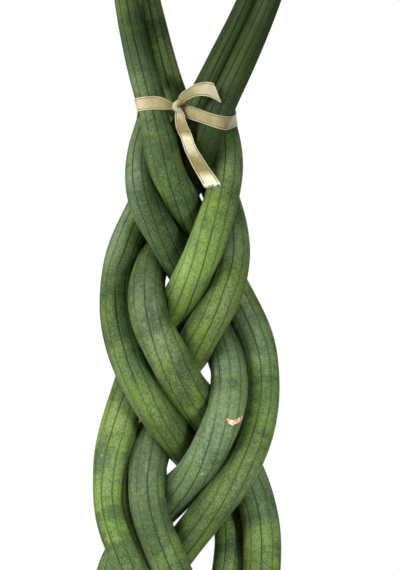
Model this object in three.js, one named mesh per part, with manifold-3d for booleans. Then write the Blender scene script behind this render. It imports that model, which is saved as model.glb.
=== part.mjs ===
// A cylindrical snake plant (Dracaena angolensis), its six round leaves braided, in a clay pot.
//
// The leaves stand in the soil in three pairs. Each pair is one strand of a flat three-strand
// braid, and a narrow ribbon ties the bundle above the last crossing, where the leaves part.
// Frame: +Z up, +X to the right, +Y away from the braid's front. The origin is the middle of
// the pot's underside. Millimetres.

import * as THREE from 'three';
import { mergeVertices } from 'three/addons/utils/BufferGeometryUtils.js';
import Module from 'manifold-3d';

const wasm = await Module();
wasm.setup();

// ---- Driving dimensions -------------------------------------------------------------------

// Pot: a turned clay pot with a thick collar.
const POT_HEIGHT = 150;
const POT_RIM_RADIUS = 97;
const POT_FOOT_RADIUS = 66;
const POT_WALL = 7;
const POT_FLOOR = 9;
const COLLAR_HEIGHT = 34;
const COLLAR_STEP = 5;
const EDGE_ROUND = 2.2;
const DRAIN_RADIUS = 9;
const POT_SIDES = 48;

// Soil.
const SOIL_TOP = 137;
const SOIL_LUMP = 1.7;
const SOIL_RINGS = 7;
const SOIL_SIDES = 36;

// Gaps between neighbours: between a leaf and the soil round it, and where two parts rest.
const LEAF_SOCKET = 0.4;
const SEAT_GAP = 0.3;

// Leaves. Every list below has one value for each station, from the leaf's foot in the soil
// up to its tip. Stations are STATION apart in height. "across" is the middle line's X,
// "depth" its Y, and "thick" is the leaf's diameter.
const LEAF_FOOT = 90;
const STATION = 30;
const LEAF_SIDES = 16;
const LEAF_RING_STEP = 12;
const GROOVE_DEPTH = 0.45;
const LEAVES = [
  {
    name: 'leaf_front_left_tall',
    colour: 0x5d7a3c,
    across: [-28, -28, -26, -13, 9.5, 32.8, 48.3, 54, 51.5, 41.5, 24.5, 9.6, -9.6, -19, -26.3, -33.9,
      -40.7, -46, -50.5, -54, -57.5, -60.5, -63.5],
    depth: [13, 13, 13, 11, -11, -21, -8, 5, 11, 14, 20, 12, -21, -23, -19, -16,
      -16, -17, -18, -19, -20, -21, -22],
    thick: [24, 24.5, 25, 25.5, 26, 25, 24.8, 24.5, 24, 24.5, 25, 24, 24.3, 25, 22, 19.6,
      18, 16.5, 15, 13, 10, 6.5, 2],
  },
  {
    name: 'leaf_scarred',
    colour: 0x56724a,
    across: [-56, -56, -55.5, -50, -28.7, 2.2, 20, 30.2, 28.5, 17, -0.5, -19.3, -31.2, -30.7,
      -24.5, -33.5, -41, -46, -49, -51],
    depth: [9, 9, 11, 15, 18, -13, -29, -20, 6, 22, 11, -16, -12, 1,
      5, 7, 10, 13, 17, 21],
    thick: [24.5, 25.5, 26, 26.5, 26.5, 25.8, 26.5, 26.6, 25, 24.5, 24, 24, 23.5, 22,
      19.5, 18, 15.5, 12, 7.5, 2],
  },
  {
    name: 'leaf_bright',
    colour: 0x6a8a3a,
    across: [-28, -28, -29.5, -39.5, -51.5, -53.5, -50, -42.5, -30, -10.5, 6, 18, 26, 27.3,
      25, 39, 51.5, 60.5, 65.5],
    depth: [-14, -14, -14, -14, -7, 2, 6, 12, 17, 5, -29, -30, -15, 7,
      14, 13, 14, 19, 26],
    thick: [24.5, 25, 25.5, 26, 26.5, 26.5, 26.4, 26, 26.5, 26.5, 26.5, 26.5, 24, 23,
      20, 18, 14.5, 8.5, 2],
  },
  {
    name: 'leaf_back_left_tall',
    colour: 0x587640,
    across: [-0.5, -0.5, -2, -12, -24.5, -29.5, -24.2, -14.5, 0.5, 18.7, 30.4, 29.9, 20.3, 8,
      -6.5, -16.5, -24, -30, -35, -39, -42],
    depth: [-12, -13, -17, -24, -26, -12, 18, 20, 2, -19, -14, -3, 17, 30,
      26, 20, 15, 10, 7, 5, 4],
    thick: [24.5, 25.5, 26.5, 26.5, 26.5, 26, 25.6, 25.5, 26.5, 26, 25.5, 25.5, 24, 22,
      19.5, 18.5, 17, 14.5, 11.5, 7, 2],
  },
  {
    name: 'leaf_back_right_tall',
    colour: 0x5a7a3f,
    across: [26, 26, 27, 31, 31, 17.4, -7.2, -28.3, -43.5, -50.3, -48, -38, -24, -9,
      8, 23, 37.5, 50.5, 61.5, 69.5, 75, 78.5],
    depth: [7, 8, 10, 14, 21, 24, -7, -17, -7, 9, 20, 17, 14, 12,
      2, -1, -2, -2, -3, -4, -4, -5],
    thick: [24, 24, 24.5, 24.5, 24.5, 24, 24.6, 25, 25, 24.5, 23.5, 23, 22.5, 21.5,
      19.5, 18.5, 17, 15, 12, 9.5, 6.5, 2],
  },
  {
    name: 'leaf_front_right_tall',
    colour: 0x47642f,
    across: [52, 52, 52.5, 54, 53, 44.2, 27, 3, -14, -27, -26.3, -16, -2.8, 12,
      25.4, 39.5, 53.2, 65, 75, 82, 87, 90],
    depth: [-5, -5, -5, -4, -1, 8, 12, -9, -29, -25, 6, 27, 13, -17,
      -19, -16, -15, -17, -18, -20, -22, -24],
    thick: [26, 26.5, 26.5, 27, 27, 27.5, 28, 29, 29.5, 28, 24, 23.5, 22.5, 22,
      20.2, 18.8, 17, 15, 12, 9.5, 6.5, 2],
  },
];

// How the leaves press each other apart where they cross.
const LEVEL = 6;
const REACH = 6;
const PRESS_GAP = 2.0;
const PRESS_ROUNDS = 120;
const PRESS_STEP = 0.9;
const PRESS_SIDEWAYS = 0.15;
const PRESS_HOLD = 0.97;

// Ribbon: a band drawn tight round the leaves, a knot in front of the gap between the two
// front leaves, and two free ends.
const RIBBON_WIDTH = 9.5;
const RIBBON_THICK = 0.8;
const RIBBON_CLEAR = 0.6;

// The band's height every 15 degrees round the bundle, from +X towards +Y.
const BAND_HEIGHTS = [
  499.5, 500.5, 501.5, 502.5, 503.5, 504, 504.5, 505, 505.5, 506, 506.5, 507.5,
  508.5, 509.5, 510, 510.5, 511, 508.5, 505, 502, 498.5, 496.5, 497.5, 498.5,
];
const BAND_STEPS = 72;
const BAND_FACINGS = 120;

// The band is gathered where it runs into the knot from the left.
const GATHER_ANGLE = 252;
const GATHER_SPREAD = 7;
const GATHER_SHARE = 0.45;

const KNOT_MIDDLE = [-6.8, -33, 508.3];
const KNOT_HALF_SIZE = [4.6, 3.4, 3.9];

// The free ends' two edges, from the knot outwards.
const TAIL_STEPS = 16;
const UPPER_TAIL = {
  outer: [[-7, -33, 511.5], [-6.5, -34, 515], [-4.5, -34.5, 518.5], [0.5, -35, 521.5],
    [6, -36, 524.5], [11.5, -36.5, 525.5], [16.5, -36.5, 525], [21, -35.5, 521.5]],
  inner: [[-4.5, -34.5, 509], [-2, -35.5, 511.5], [0.5, -36.5, 513], [4.5, -37.5, 514.5],
    [8.5, -38, 515.5], [13.5, -38.5, 515.5], [18.5, -38, 514], [23.5, -37, 511.5]],
};
const LOWER_TAIL = {
  outer: [[-8, -33, 509], [-8.5, -34, 503.5], [-9, -33.5, 499.5], [-8, -32, 493.5],
    [-6, -30.5, 488.5], [-4, -31, 484.5], [-2.5, -33, 478.5], [0, -33, 472],
    [3.5, -31, 465.5], [8, -29.5, 458.5], [12.5, -30.5, 452]],
  inner: [[-4.5, -35, 509], [-2.5, -36.5, 503.5], [-1, -36.5, 499], [1, -35.5, 493.5],
    [3, -34.5, 489], [4.5, -35, 483.5], [7, -35.5, 477.5], [11, -34, 471.5],
    [15, -31.5, 465], [19.5, -30, 458.5], [25, -31.5, 452.5]],
};

// ---- Smooth lines through stations ----------------------------------------------------------

// Second differences of the natural cubic spline through evenly spaced values.
function splineBends(values) {
  const last = values.length - 1;
  const bends = new Array(values.length).fill(0);
  const share = new Array(values.length).fill(0);
  for (let i = 1; i < last; i += 1) {
    const pivot = 4 - share[i - 1];
    share[i] = 1 / pivot;
    bends[i] = (6 * (values[i - 1] - 2 * values[i] + values[i + 1]) - bends[i - 1]) / pivot;
  }
  for (let i = last - 1; i > 0; i -= 1) {
    bends[i] -= share[i] * bends[i + 1];
  }
  return bends;
}

// The spline's value at position t, where whole numbers are the given values.
function splineAt(values, bends, t) {
  const i = Math.min(Math.max(Math.floor(t), 0), values.length - 2);
  const f = t - i;
  const g = 1 - f;
  const sag = ((g ** 3 - g) * bends[i] + (f ** 3 - f) * bends[i + 1]) / 6;
  return g * values[i] + f * values[i + 1] + sag;
}

// The stations' values read at every level of height.
function readLevels(values) {
  const bends = splineBends(values);
  const count = (values.length - 1) * (STATION / LEVEL) + 1;
  const at = (k) => splineAt(values, bends, (k * LEVEL) / STATION);
  return Array.from({ length: count }, (_, k) => at(k));
}

// ---- The braid settles ------------------------------------------------------------------------

// How far the other leaves press on one leaf at one level: the strongest press from each side.
function pressOn(leaf, level, leaves) {
  const most = { across: 0, depth: 0 };
  const least = { across: 0, depth: 0 };
  for (const other of leaves) {
    if (other === leaf) continue;
    const first = Math.max(0, level - REACH);
    const last = Math.min(other.across.length - 1, level + REACH);
    for (let k = first; k <= last; k += 1) {
      const away = { across: leaf.across[level] - other.across[k], depth: leaf.depth[level] - other.depth[k] };
      const flat = Math.hypot(away.across, away.depth) + 1e-6;
      const apart = Math.hypot(flat, (k - level) * LEVEL);
      const overlap = leaf.radius[level] + other.radius[k] + PRESS_GAP - apart;
      if (overlap <= 0) continue;
      for (const side of ['across', 'depth']) {
        const press = (overlap * away[side]) / flat;
        most[side] = Math.max(most[side], press);
        least[side] = Math.min(least[side], press);
      }
    }
  }
  return { across: most.across + least.across, depth: most.depth + least.depth };
}

// One pass of a 1-2-1 average, with the ends left where they are.
function soften(shift) {
  return shift.map((value, k) => {
    if (k === 0 || k === shift.length - 1) return value;
    return 0.25 * shift[k - 1] + 0.5 * value + 0.25 * shift[k + 1];
  });
}

// Moves the drawn lines, mostly in depth, until the leaves lie clear of each other.
function settle(leaves) {
  const settled = leaves.map((leaf) => ({ ...leaf }));
  const shifts = leaves.map((leaf) => ({
    across: leaf.across.map(() => 0),
    depth: leaf.depth.map(() => 0),
  }));
  for (let round = 0; round < PRESS_ROUNDS; round += 1) {
    const presses = settled.map((leaf) => leaf.across.map((_, level) => pressOn(leaf, level, settled)));
    settled.forEach((leaf, n) => {
      const shift = shifts[n];
      const sideways = PRESS_STEP * PRESS_SIDEWAYS;
      shift.across = soften(shift.across.map((s, k) => s * PRESS_HOLD + sideways * presses[n][k].across));
      shift.depth = soften(shift.depth.map((s, k) => s + PRESS_STEP * presses[n][k].depth));
      leaf.across = leaves[n].across.map((value, k) => value + shift.across[k]);
      leaf.depth = leaves[n].depth.map((value, k) => value + shift.depth[k]);
    });
  }
  return settled;
}

// A leaf's middle line and radius, read at any height.
function leafRoute(leaf) {
  const bends = {};
  for (const key of ['across', 'depth', 'radius']) {
    bends[key] = splineBends(leaf[key]);
  }
  const read = (key, height) => splineAt(leaf[key], bends[key], (height - LEAF_FOOT) / LEVEL);
  const point = (z) => new THREE.Vector3(read('across', z), read('depth', z), z);
  return {
    top: LEAF_FOOT + (leaf.across.length - 1) * LEVEL,
    point,
    radius: (z) => read('radius', z),
    along: (z) => point(z + 1).sub(point(z - 1)).normalize(),
  };
}

// ---- Solids -----------------------------------------------------------------------------------

// Leaves only the positions, with shared corners welded.
function weld(geometry) {
  const bare = geometry.clone();
  bare.deleteAttribute('normal');
  bare.deleteAttribute('uv');
  return mergeVertices(bare, 1e-3);
}

function toSolid(geometry) {
  const welded = weld(geometry);
  return new wasm.Manifold(new wasm.Mesh({
    numProp: 3,
    vertProperties: new Float32Array(welded.attributes.position.array),
    triVerts: new Uint32Array(welded.index.array),
  }));
}

function toGeometry(solid) {
  const mesh = solid.getMesh();
  const geometry = new THREE.BufferGeometry();
  geometry.setAttribute('position', new THREE.BufferAttribute(mesh.vertProperties, 3));
  geometry.setIndex(new THREE.BufferAttribute(mesh.triVerts, 1));
  geometry.computeVertexNormals();
  return geometry;
}

// Moves every corner of a geometry to a new place.
function bend(geometry, place) {
  const corners = geometry.attributes.position;
  const corner = new THREE.Vector3();
  for (let i = 0; i < corners.count; i += 1) {
    corner.fromBufferAttribute(corners, i);
    const moved = place(corner);
    corners.setXYZ(i, moved.x, moved.y, moved.z);
  }
  const bent = weld(geometry);
  bent.computeVertexNormals();
  return bent;
}

// A round leaf: a cylinder bent along its route, with shallow grooves running up it.
function leafGeometry(route, grow = 0) {
  const span = route.top - LEAF_FOOT;
  const rings = Math.round(span / LEAF_RING_STEP);
  const cylinder = new THREE.CylinderGeometry(1, 1, 1, LEAF_SIDES, rings);
  const sideways = new THREE.Vector3(1, 0, 0);
  return bend(cylinder, (corner) => {
    const z = LEAF_FOOT + (corner.y + 0.5) * span;
    const along = route.along(z);
    const right = sideways.clone().addScaledVector(along, -along.x).normalize();
    const front = right.clone().cross(along);
    const side = Math.round((Math.atan2(corner.x, corner.z) / (2 * Math.PI)) * LEAF_SIDES);
    const girth = route.radius(z);
    const groove = side % 2 === 0 ? 0 : Math.min(GROOVE_DEPTH, 0.06 * girth);
    const radius = girth - groove + grow;
    const lengthen = corner.y < -0.49 ? -grow : 0;
    return route.point(z)
      .addScaledVector(right, corner.x * radius)
      .addScaledVector(front, corner.z * radius)
      .addScaledVector(along, lengthen);
  });
}

// A solid of revolution round Z, from [radius, height] pairs.
function turned(profile, sides) {
  const points = profile.map(([radius, height]) => new THREE.Vector2(radius, height));
  return new THREE.LatheGeometry(points, sides).rotateX(Math.PI / 2);
}

// The pot's wall leans out evenly from the foot to the rim.
const COLLAR_BOTTOM = POT_HEIGHT - COLLAR_HEIGHT;
const WALL_TOP_RADIUS = POT_RIM_RADIUS - COLLAR_STEP;

function outsideRadius(z) {
  return POT_FOOT_RADIUS + (WALL_TOP_RADIUS - 2 - POT_FOOT_RADIUS) * (z / COLLAR_BOTTOM);
}

function insideRadius(z) {
  return outsideRadius(Math.min(z, COLLAR_BOTTOM)) - POT_WALL + 0.02 * Math.max(0, z - COLLAR_BOTTOM);
}

function potGeometry() {
  const e = EDGE_ROUND;
  const top = POT_HEIGHT;
  const lean = 1.5;
  const profile = [
    [DRAIN_RADIUS, 0],
    [outsideRadius(0) - e, 0],
    [outsideRadius(e), e],
    [outsideRadius(COLLAR_BOTTOM), COLLAR_BOTTOM],
    [POT_RIM_RADIUS - lean - e, COLLAR_BOTTOM],
    [POT_RIM_RADIUS - lean, COLLAR_BOTTOM + e],
    [POT_RIM_RADIUS, top - 2 * e],
    [POT_RIM_RADIUS - 0.3 * e, top - 0.6 * e],
    [POT_RIM_RADIUS - 1.3 * e, top],
    [insideRadius(top) + 1.3 * e, top],
    [insideRadius(top) + 0.3 * e, top - 0.6 * e],
    [insideRadius(top - 2 * e), top - 2 * e],
    [insideRadius(COLLAR_BOTTOM), COLLAR_BOTTOM],
    [insideRadius(POT_FLOOR + 3 * e), POT_FLOOR + 3 * e],
    [insideRadius(POT_FLOOR) - 3 * e, POT_FLOOR],
    [DRAIN_RADIUS, POT_FLOOR],
    [DRAIN_RADIUS, 0],
  ];
  return turned(profile, POT_SIDES);
}

// Height of the soil's lumps above or below its level.
function soilLump(x, y) {
  const broad = Math.sin(x * 0.071 + 1.3) * Math.cos(y * 0.083 - 0.4);
  const middle = Math.sin(x * 0.19 - y * 0.13 + 2.1) * Math.cos(y * 0.21 + x * 0.05);
  const fine = Math.sin(x * 0.43 + 0.7) * Math.sin(y * 0.39 - 1.9);
  return SOIL_LUMP * (0.9 * broad + 0.6 * middle + 0.35 * fine);
}

function soilGeometry(routes) {
  const bottom = POT_FLOOR + SEAT_GAP;
  const edge = insideRadius(SOIL_TOP) - SEAT_GAP;
  const profile = [[0, bottom], [insideRadius(bottom) - 8, bottom], [insideRadius(18) - SEAT_GAP, 18]];
  profile.push([insideRadius(COLLAR_BOTTOM) - SEAT_GAP, COLLAR_BOTTOM]);
  for (let ring = SOIL_RINGS; ring >= 0; ring -= 1) {
    profile.push([(edge * ring) / SOIL_RINGS, SOIL_TOP]);
  }
  const lumpy = bend(turned(profile, SOIL_SIDES), (corner) => {
    const onTop = corner.z > SOIL_TOP - 0.01;
    const atEdge = Math.hypot(corner.x, corner.y) > edge - 1;
    const lift = onTop ? soilLump(corner.x, corner.y) * (atEdge ? 0.4 : 1) : 0;
    return corner.clone().setZ(corner.z + lift);
  });
  let soil = toSolid(lumpy);
  for (const route of routes) {
    soil = soil.subtract(toSolid(leafGeometry(route, LEAF_SOCKET)));
  }
  return toGeometry(soil);
}

// ---- Ribbon ------------------------------------------------------------------------------------

const FULL_TURN = 2 * Math.PI;

// Each leaf's section at one height: its middle, its radius and the way it leans.
function sliceLeaves(routes, height) {
  return routes.map((route) => ({
    middle: route.point(height),
    radius: route.radius(height),
    along: route.along(height),
  }));
}

// How far the bundle reaches in one facing. A leaning leaf's level section is an ellipse.
function reach(slices, facing) {
  const x = Math.cos(facing);
  const y = Math.sin(facing);
  const reaches = slices.map(({ middle, radius, along }) => {
    const lean = along.x * x + along.y * y;
    return middle.x * x + middle.y * y + radius / Math.sqrt(1 - lean * lean);
  });
  return Math.max(...reaches);
}

// How far from the middle a tight band runs in direction "turn": the flat lines that touch
// the bundle bound it, and the nearest of them counts.
function tightRadius(slices, turn) {
  let nearest = Infinity;
  for (let k = 0; k < BAND_FACINGS; k += 1) {
    const facing = (FULL_TURN * k) / BAND_FACINGS;
    const lined = Math.cos(turn - facing);
    if (lined > 0.2) {
      nearest = Math.min(nearest, reach(slices, facing) / lined);
    }
  }
  return nearest;
}

// The band's middle height, in direction "turn" round the bundle.
const wrapped = [...BAND_HEIGHTS.slice(-3), ...BAND_HEIGHTS, ...BAND_HEIGHTS.slice(0, 4)];
const wrappedBends = splineBends(wrapped);

function bandHeight(turn) {
  const share = ((turn / FULL_TURN) % 1 + 1) % 1;
  return splineAt(wrapped, wrappedBends, share * BAND_HEIGHTS.length + 3);
}

function bandWidth(turn) {
  const degrees = (((turn / FULL_TURN) % 1 + 1) % 1) * 360;
  const near = Math.exp(-(((degrees - GATHER_ANGLE) / GATHER_SPREAD) ** 2));
  return RIBBON_WIDTH * (1 - GATHER_SHARE * near);
}

function bandGeometry(routes) {
  const section = [[1, -0.5], [2, -0.5], [2, 0], [2, 0.5], [1, 0.5], [1, 0], [1, -0.5]];
  return bend(turned(section, BAND_STEPS), (corner) => {
    const turn = Math.atan2(corner.y, corner.x);
    const layer = Math.hypot(corner.x, corner.y) - 1;
    const height = bandHeight(turn) + corner.z * bandWidth(turn);
    const tight = tightRadius(sliceLeaves(routes, height), turn);
    const radius = tight + RIBBON_CLEAR + layer * RIBBON_THICK;
    return new THREE.Vector3(radius * Math.cos(turn), radius * Math.sin(turn), height);
  });
}

// A flat strip between two edge lines.
function stripGeometry({ outer, inner }) {
  const first = new THREE.CatmullRomCurve3(outer.map((point) => new THREE.Vector3(...point)));
  const second = new THREE.CatmullRomCurve3(inner.map((point) => new THREE.Vector3(...point)));
  const strip = new THREE.BoxGeometry(1, 1, 1, 1, TAIL_STEPS, 1);
  return bend(strip, (corner) => {
    const t = corner.y + 0.5;
    const from = first.getPoint(t);
    const to = second.getPoint(t);
    const ahead = first.getTangent(t).add(second.getTangent(t));
    const outward = to.clone().sub(from).cross(ahead).normalize();
    return from.lerp(to, corner.x + 0.5).addScaledVector(outward, corner.z * RIBBON_THICK);
  });
}

function ribbonGeometry(routes) {
  const knot = new THREE.SphereGeometry(1, 14, 10);
  knot.scale(...KNOT_HALF_SIZE).translate(...KNOT_MIDDLE);
  return toGeometry(toSolid(bandGeometry(routes))
    .add(toSolid(knot))
    .add(toSolid(stripGeometry(UPPER_TAIL)))
    .add(toSolid(stripGeometry(LOWER_TAIL))));
}

const group = new THREE.Group();

function addPart(name, geometry, colour, roughness) {
  const material = new THREE.MeshStandardMaterial({ color: colour, roughness, metalness: 0 });
  const mesh = new THREE.Mesh(geometry, material);
  mesh.name = name;
  group.add(mesh);
}

const drawn = LEAVES.map((leaf) => ({
  across: readLevels(leaf.across),
  depth: readLevels(leaf.depth),
  radius: readLevels(leaf.thick).map((thick) => Math.max(thick / 2, 0.5)),
}));
const routes = settle(drawn).map(leafRoute);

addPart('pot', potGeometry(), 0xb5683f, 0.85);
addPart('soil', soilGeometry(routes), 0x3a2a1e, 1);
LEAVES.forEach((leaf, n) => {
  addPart(leaf.name, leafGeometry(routes[n]), leaf.colour, 0.5);
});
addPart('ribbon', ribbonGeometry(routes), 0xc9b58a, 0.6);

export default group;
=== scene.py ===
# %% [markdown]
# # A plaited snake plant
#
# Six round leaves stand in a clay pot in three pairs. Each pair is one strand of a flat plait,
# and a narrow ribbon ties the bundle near the top, where the pointed tips part again.
#
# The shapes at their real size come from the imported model, which is loaded first and stays
# fixed. Here every piece gets its fine surface: grooved leaf skins, a satin ribbon with a real
# knot, a turned clay pot, and loose soil. All lengths are metres, with Z up and the plait's
# front towards -Y.

import math
import random

import bmesh
import bpy
import numpy as np
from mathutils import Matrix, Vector, noise


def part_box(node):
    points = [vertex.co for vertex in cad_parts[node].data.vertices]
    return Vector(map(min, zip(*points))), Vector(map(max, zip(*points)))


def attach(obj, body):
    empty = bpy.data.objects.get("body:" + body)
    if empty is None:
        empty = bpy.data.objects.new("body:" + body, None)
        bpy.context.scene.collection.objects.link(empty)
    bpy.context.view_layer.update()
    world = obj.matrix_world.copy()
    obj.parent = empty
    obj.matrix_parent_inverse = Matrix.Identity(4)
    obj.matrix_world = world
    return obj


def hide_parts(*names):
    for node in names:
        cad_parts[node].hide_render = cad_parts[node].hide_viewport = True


MM = 0.001
WELD = 0.01 * MM
UP = Vector((0, 0, 1))
ACROSS = Vector((1, 0, 0))

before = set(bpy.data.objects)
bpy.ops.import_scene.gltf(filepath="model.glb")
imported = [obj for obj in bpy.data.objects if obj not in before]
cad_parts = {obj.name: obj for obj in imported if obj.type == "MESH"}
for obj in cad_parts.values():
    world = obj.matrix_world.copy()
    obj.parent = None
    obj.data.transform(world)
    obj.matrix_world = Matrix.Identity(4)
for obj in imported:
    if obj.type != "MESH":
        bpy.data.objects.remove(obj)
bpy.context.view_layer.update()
print("nodes:", ", ".join(sorted(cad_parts)))

# %% [markdown]
# ## The camera
#
# A plait like this looks right from straight ahead and from far away, with a long lens that
# keeps the near and the far leaf the same size. The frame is 400 by 570, and with the sensor's
# long side upright the lens follows from how tall a slice of the plant fills the frame.

# %% Camera
SEEN_HEIGHT = 0.4104
SEEN_MIDDLE = Vector((0.00936, 0, 0.3806))
CAMERA_AWAY = 6
SENSOR = 36

camera_data = bpy.data.cameras.new("camera")
camera_data.sensor_width = SENSOR
camera_data.lens = SENSOR * CAMERA_AWAY / SEEN_HEIGHT
camera = bpy.data.objects.new("camera", camera_data)
camera.location = SEEN_MIDDLE - Vector((0, CAMERA_AWAY, 0))
camera.rotation_euler = (math.pi / 2, 0, 0)
bpy.context.scene.collection.objects.link(camera)
bpy.context.scene.camera = camera
print(f"lens {camera_data.lens:.0f} mm from {CAMERA_AWAY} m")

# %% [markdown]
# ## Light and floor
#
# The light is one broad soft window, high and to the left of the camera, so every leaf falls
# from light to dark across its width and the gaps between leaves go nearly black. A weak lamp
# low on the right, narrowed to the plait's lower right, keeps the leaves there from going dull.
# One straight out to the left draws a bright line along the leaves' left edges, and one behind
# gives the back form. Area lamps make soft shadows because they are large. The world is bright
# white where the camera looks past the plant, but lights it only gently, or the leaves'
# outlines would glow. The lamps are hidden from the camera.

# %% Lamps, world and floor
def lamp(name, place, aim, size, watts, colour=(1, 1, 1)):
    data = bpy.data.lights.new(name, "AREA")
    data.shape = "DISK"
    data.size = size
    data.energy = watts
    data.color = colour
    light = bpy.data.objects.new(name, data)
    light.location = place
    light.rotation_euler = (Vector(aim) - Vector(place)).to_track_quat("-Z", "Y").to_euler()
    light.visible_camera = False
    bpy.context.scene.collection.objects.link(light)
    return light


PLAIT_MIDDLE = (0, 0, 0.4)
PLAIT_LOW = (0, 0, 0.3)
PLAIT_LOW_RIGHT = (0.08, 0, 0.2)
WARM = (1, 0.985, 0.95)
COOL = (0.97, 0.99, 1)
LOW_LAMP_SPREAD = 24

lamp("window_left", (-1.35, -1.6, 1.15), PLAIT_LOW, size=0.9, watts=48, colour=WARM)
low_lamp = lamp("window_right", (0.9, -1.7, 0.25), PLAIT_LOW_RIGHT, size=0.5, watts=1.15, colour=COOL)
low_lamp.data.spread = math.radians(LOW_LAMP_SPREAD)
lamp("from_behind", (0.1, 2, 0.9), PLAIT_MIDDLE, size=1.2, watts=26)
lamp("from_the_left", (-1.9, 0.1, 0.35), PLAIT_LOW, size=0.6, watts=22)

WORLD_GLOW = 0.21
world = bpy.data.worlds.new("studio")
world.use_nodes = True
bpy.context.scene.world = world
tree = world.node_tree
seen = tree.nodes.new("ShaderNodeLightPath")
backdrop = tree.nodes["Background"]
gentle = tree.nodes.new("ShaderNodeBackground")
chosen = tree.nodes.new("ShaderNodeMixShader")
backdrop.inputs["Color"].default_value = (1, 1, 1, 1)
backdrop.inputs["Strength"].default_value = 1.0
gentle.inputs["Color"].default_value = (0.95, 0.98, 1, 1)
gentle.inputs["Strength"].default_value = WORLD_GLOW
tree.links.new(seen.outputs["Is Camera Ray"], chosen.inputs[0])
tree.links.new(gentle.outputs[0], chosen.inputs[1])
tree.links.new(backdrop.outputs[0], chosen.inputs[2])
tree.links.new(chosen.outputs[0], tree.nodes["World Output"].inputs["Surface"])
bpy.context.scene.view_settings.view_transform = "Standard"
print("lamps:", len(bpy.data.lights))

# %% [markdown]
# ## Writing materials as arithmetic
#
# A material is a graph of nodes. Placing the nodes by hand in code is long and hard to read, so
# a small class wraps one output socket and overloads + - * /, and an expression such as
# 1 - mask adds its own Math nodes. `Finish.add` makes every other kind of node: it takes the
# node's type, its settings, and the values or links of its sockets.

# %% The two helper classes
class Value:
    def __init__(self, finish, socket):
        self.finish = finish
        self.socket = socket

    def other(self, name):
        """Another output of the same node."""
        return Value(self.finish, self.socket.node.outputs[name])

    def maths(self, operation, *values):
        return self.finish.add("Math", {"operation": operation}, dict(enumerate(values)))

    def __add__(self, other):
        return self.maths("ADD", self, other)

    def __radd__(self, other):
        return self.maths("ADD", other, self)

    def __sub__(self, other):
        return self.maths("SUBTRACT", self, other)

    def __rsub__(self, other):
        return self.maths("SUBTRACT", other, self)

    def __mul__(self, other):
        return self.maths("MULTIPLY", self, other)

    def __rmul__(self, other):
        return self.maths("MULTIPLY", other, self)

    def __truediv__(self, other):
        return self.maths("DIVIDE", self, other)


class Finish:
    def __init__(self, name):
        self.material = bpy.data.materials.new(name)
        self.material.use_nodes = True
        self.nodes = self.material.node_tree.nodes
        self.links = self.material.node_tree.links
        self.surface = self.nodes["Principled BSDF"]

    def add(self, kind, settings=None, sockets=None, output=0):
        node = self.nodes.new("ShaderNode" + kind)
        for key, value in (settings or {}).items():
            if key == "stops":
                self.set_stops(node.color_ramp, value)
            else:
                setattr(node, key, value)
        for key, value in (sockets or {}).items():
            self.feed(node.inputs[key], value)
        return Value(self, node.outputs[output])

    def feed(self, socket, value):
        if isinstance(value, Value):
            self.links.new(value.socket, socket)
        elif isinstance(value, tuple) and len(value) == 3 and socket.type == "RGBA":
            socket.default_value = (*value, 1)
        else:
            socket.default_value = value

    def set_stops(self, ramp, stops):
        while len(ramp.elements) < len(stops):
            ramp.elements.new(0.5)
        for element, (place, colour) in zip(ramp.elements, stops):
            element.position = place
            element.color = (*colour, 1)

    def rise(self, value, low, high):
        """0 below low, 1 above high, and a smooth step between."""
        sockets = {"Value": value, "From Min": low, "From Max": high}
        return self.add("MapRange", {"interpolation_type": "SMOOTHSTEP"}, sockets)

    def stain(self, share, under, over):
        """The colour under, with the colour over laid on it by that share."""
        return self.add("Mix", {"data_type": "RGBA"}, {0: share, 6: under, 7: over}, output=2)

    def grain(self, place, scale, detail, roughness=0.5, distortion=0):
        sockets = {"Vector": place, "Scale": scale, "Detail": detail}
        sockets |= {"Roughness": roughness, "Distortion": distortion}
        return self.add("TexNoise", {}, sockets)

    def stretched(self, place, factors, shift=(0, 0, 0)):
        """A place with its axes stretched, for patterns that are longer one way."""
        sockets = {"Vector": place, "Scale": factors, "Location": shift}
        return self.add("Mapping", {}, sockets)

    def relief(self, height, distance, strength, under=None):
        sockets = {"Height": height, "Distance": distance, "Strength": strength}
        if under is not None:
            sockets["Normal"] = under
        return self.add("Bump", {}, sockets)

    def finish(self, **sockets):
        for name, value in sockets.items():
            self.feed(self.surface.inputs[name.replace("_", " ")], value)
        print(f"{self.material.name}: {len(self.nodes)} nodes")
        return self.material


# %% Small helpers for pieces
def put(name, bm, material):
    """A bmesh made an object of the scene, with smooth faces."""
    for face in bm.faces:
        face.smooth = True
    mesh = bpy.data.meshes.new(name)
    bm.to_mesh(mesh)
    bm.free()
    mesh.materials.append(material)
    piece = bpy.data.objects.new(name, mesh)
    bpy.context.scene.collection.objects.link(piece)
    print(f"{name}: {len(mesh.polygons)} faces")
    return piece


def smooth_step(value, low, high):
    share = np.clip((value - low) / (high - low), 0, 1)
    return share * share * (3 - 2 * share)


# %% [markdown]
# ### The floor
#
# A plain disc. It ends inside the ring of lamps, and well before it would show in the frame.

# %% Floor
FLOOR_RADIUS = 1.4

paper = Finish("floor_paper")
tooth = paper.grain(paper.add("TexCoord", output="Object"), 900, 3)
paper_skin = paper.finish(
    Base_Color=(0.86, 0.86, 0.85),
    Roughness=0.9,
    Normal=paper.relief(tooth, 0.0002, 0.4),
)
bm = bmesh.new()
bmesh.ops.create_circle(bm, cap_ends=True, radius=FLOOR_RADIUS, segments=96)
floor = put("floor", bm, paper_skin)

# %% [markdown]
# ## A leaf's route, read from the model
#
# The six leaves wind round each other with a hair of air between them, and that settled lie is
# already in the model. So the route isn't drawn again: each model leaf is sliced level about
# every 12 mm, and the middle and area of the slices give the leaf's middle line and its
# radius. A natural cubic spline joins them without kinks. The ribbon ties one leaf in, which
# gives it a waist from `WAIST_START` to `WAIST_END`.

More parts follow.
